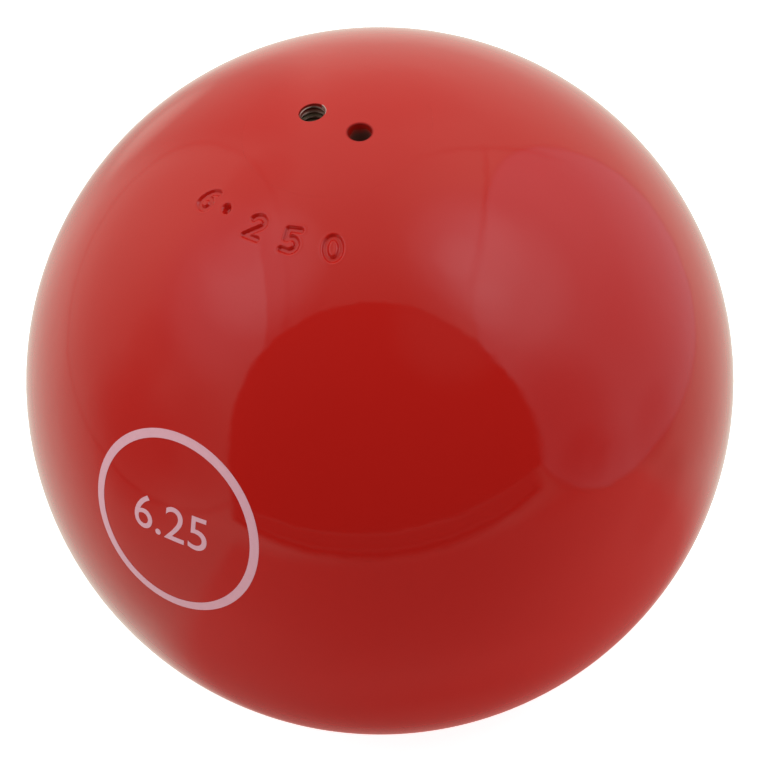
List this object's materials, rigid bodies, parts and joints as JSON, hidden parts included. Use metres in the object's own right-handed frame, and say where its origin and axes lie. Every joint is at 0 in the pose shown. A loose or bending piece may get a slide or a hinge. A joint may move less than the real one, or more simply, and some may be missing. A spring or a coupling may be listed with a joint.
{
  "type": "shot put",
  "caption": "Round iron shot put with a lead core, a loading plug that unscrews, and a set screw in the plug's filling port.",
  "frame": {"origin": "the ball's centre", "axes": "+Z out through the middle of the loading plug, +X towards the side of the plug's plain spanner hole, -X towards its threaded port"},
  "size_m": [0.118, 0.118, 0.118],
  "materials": {
    "red_enamel": "gloss baked enamel over turned iron",
    "lead": "dull cast lead",
    "copper": "soft annealed copper",
    "felt": "pressed grey wool felt",
    "black_steel": "blackened steel"
  },
  "bodies": {
    "ball": {"iron_ball": "red_enamel", "lead_core": "lead", "trim_shot_01": "lead", "trim_shot_02": "lead", "trim_shot_03": "lead", "trim_shot_04": "lead", "trim_shot_05": "lead", "trim_shot_06": "lead", "trim_shot_07": "lead", "trim_shot_08": "lead", "trim_shot_09": "lead", "trim_shot_10": "lead", "trim_shot_11": "lead", "trim_shot_12": "lead", "trim_shot_13": "lead", "trim_shot_14": "lead", "trim_shot_15": "lead", "trim_shot_16": "lead", "trim_shot_17": "lead", "trim_shot_18": "lead", "trim_shot_19": "lead", "trim_shot_20": "lead", "trim_shot_21": "lead", "trim_shot_22": "lead", "trim_shot_23": "lead", "trim_shot_24": "lead", "trim_shot_25": "lead", "trim_shot_26": "lead", "trim_shot_27": "lead", "trim_shot_28": "lead", "trim_shot_29": "lead", "trim_shot_30": "lead", "trim_shot_31": "lead"},
    "washer": {"sealing_washer": "copper"},
    "plug": {"loading_plug": "red_enamel"},
    "wad": {"felt_wad": "felt"},
    "screw": {"set_screw": "black_steel"}
  },
  "joints": [
    {"name": "plug_lift", "type": "slide", "parent": "ball", "child": "washer", "axis": [0, 0, 1], "range_m": [0, 0.018]},
    {"name": "plug_turn", "type": "hinge", "parent": "washer", "child": "plug", "pos_m": [0, 0, 0.052], "axis": [0, 0, 1], "range_deg": [0, 4320]},
    {"name": "screw_lift", "type": "slide", "parent": "plug", "child": "wad", "axis": [0, 0, 1], "range_m": [0, 0.0127]},
    {"name": "screw_turn", "type": "hinge", "parent": "wad", "child": "screw", "pos_m": [-0.00464, 0, 0.0545], "axis": [0, 0, 1], "range_deg": [0, 4320]}
  ],
  "couplings": [
    {"joint": "plug_turn", "follows": "plug_lift", "rad_per_m": 4188.8},
    {"joint": "screw_turn", "follows": "screw_lift", "rad_per_m": 5936.9}
  ]
}
